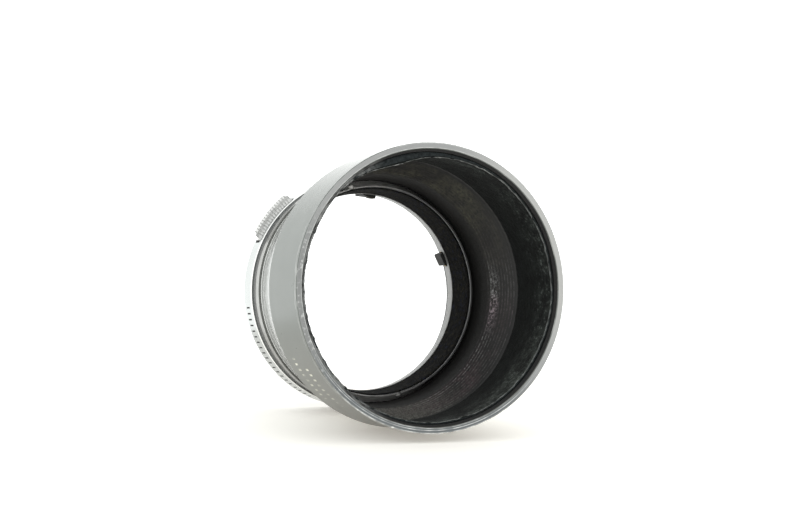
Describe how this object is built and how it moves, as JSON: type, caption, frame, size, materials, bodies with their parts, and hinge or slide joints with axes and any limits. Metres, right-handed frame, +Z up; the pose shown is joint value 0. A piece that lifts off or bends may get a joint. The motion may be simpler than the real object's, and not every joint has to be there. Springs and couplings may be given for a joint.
{
  "type": "lens hood",
  "caption": "Round clamp-on lens hood: wide black barrel with a velvet-lined mouth and ridged cone, bright rear clamp ring with opposed spring buttons that work claws.",
  "frame": {"origin": "on the optical axis, at the front end of the four claw notches, inside the rear end of the land of the lens bore", "axes": "+Y is the optical axis from the wide front mouth to the lens, +Z up with the hood lying on its side, +X to the right as seen from the front; the opposed buttons lie at 139.7 and 319.7 degrees from +X towards +Z"},
  "size_m": [0.0594, 0.0448, 0.0594],
  "materials": {
    "black_barrel": "satin black lacquer over turned light alloy, slightly worn at the rim edges",
    "black_velvet": "short black velvet with dust and frayed front edge",
    "nickel": "turned dull nickel",
    "black_brass": "black lacquer on turned brass, semi-matt, worn thin on the lens bore",
    "black_felt": "matted black felt with grey and brown specks",
    "chrome_band": "polished satin chrome",
    "chrome_button": "polished chrome, fine ribs on the front face",
    "claw_steel": "blackened steel, rubbed claws",
    "brass_sheet": "plain brass sheet",
    "spring_steel": "bright drawn spring steel",
    "screw_steel": "oil-blackened steel with bright slots"
  },
  "bodies": {
    "hood": {"barrel": "black_barrel", "velvet_lining": "black_velvet", "spacer_ring": "nickel", "mount_ring": "black_brass", "retaining_ring": "black_brass", "felt_ring": "black_felt", "clamp_housing": "chrome_band", "rear_cover": "black_brass", "divider_left": "brass_sheet", "divider_right": "brass_sheet", "front_spring_right": "spring_steel", "front_spring_bottom": "spring_steel", "rear_spring_left": "spring_steel", "rear_spring_top": "spring_steel", "pivot_pins": "spring_steel", "housing_screws": "screw_steel", "cover_screws": "screw_steel"},
    "upper_button": {"upper_button": "chrome_button"},
    "lower_button": {"lower_button": "chrome_button"},
    "front_lever_right": {"front_lever_right": "claw_steel"},
    "front_lever_bottom": {"front_lever_bottom": "claw_steel"},
    "rear_lever_left": {"rear_lever_left": "claw_steel"},
    "rear_lever_top": {"rear_lever_top": "claw_steel"}
  },
  "joints": [
    {"name": "press_upper_button", "type": "slide", "parent": "hood", "child": "upper_button", "axis": [0.7627, 0, -0.6468], "range_m": [0, 0.0013], "stiffness_N_per_m": 1500, "springref_m": -0.0008},
    {"name": "press_lower_button", "type": "slide", "parent": "hood", "child": "lower_button", "axis": [-0.7627, 0, 0.6468], "range_m": [0, 0.0013], "stiffness_N_per_m": 1500, "springref_m": -0.0008},
    {"name": "swing_front_lever_right", "type": "hinge", "parent": "hood", "child": "front_lever_right", "pos_m": [0.01649, 0.00285, 0.01632], "axis": [0, -1, 0], "range_deg": [0, 3.9], "deforming": ["front_spring_right"]},
    {"name": "swing_front_lever_bottom", "type": "hinge", "parent": "hood", "child": "front_lever_bottom", "pos_m": [-0.01561, 0.00285, -0.01716], "axis": [0, 1, 0], "range_deg": [0, 3.9], "deforming": ["front_spring_bottom"]},
    {"name": "swing_rear_lever_left", "type": "hinge", "parent": "hood", "child": "rear_lever_left", "pos_m": [-0.01649, 0.0046, -0.01632], "axis": [0, -1, 0], "range_deg": [0, 3.9], "deforming": ["rear_spring_left"]},
    {"name": "swing_rear_lever_top", "type": "hinge", "parent": "hood", "child": "rear_lever_top", "pos_m": [0.01341, 0.0046, 0.01893], "axis": [0, 1, 0], "range_deg": [0, 3.9], "deforming": ["rear_spring_top"]}
  ],
  "couplings": [
    {"joint": "swing_front_lever_right", "follows": "press_upper_button", "rad_per_m": 51.036},
    {"joint": "swing_front_lever_bottom", "follows": "press_upper_button", "rad_per_m": 50.844},
    {"joint": "swing_rear_lever_left", "follows": "press_lower_button", "rad_per_m": 51.036},
    {"joint": "swing_rear_lever_top", "follows": "press_lower_button", "rad_per_m": 51.036}
  ]
}
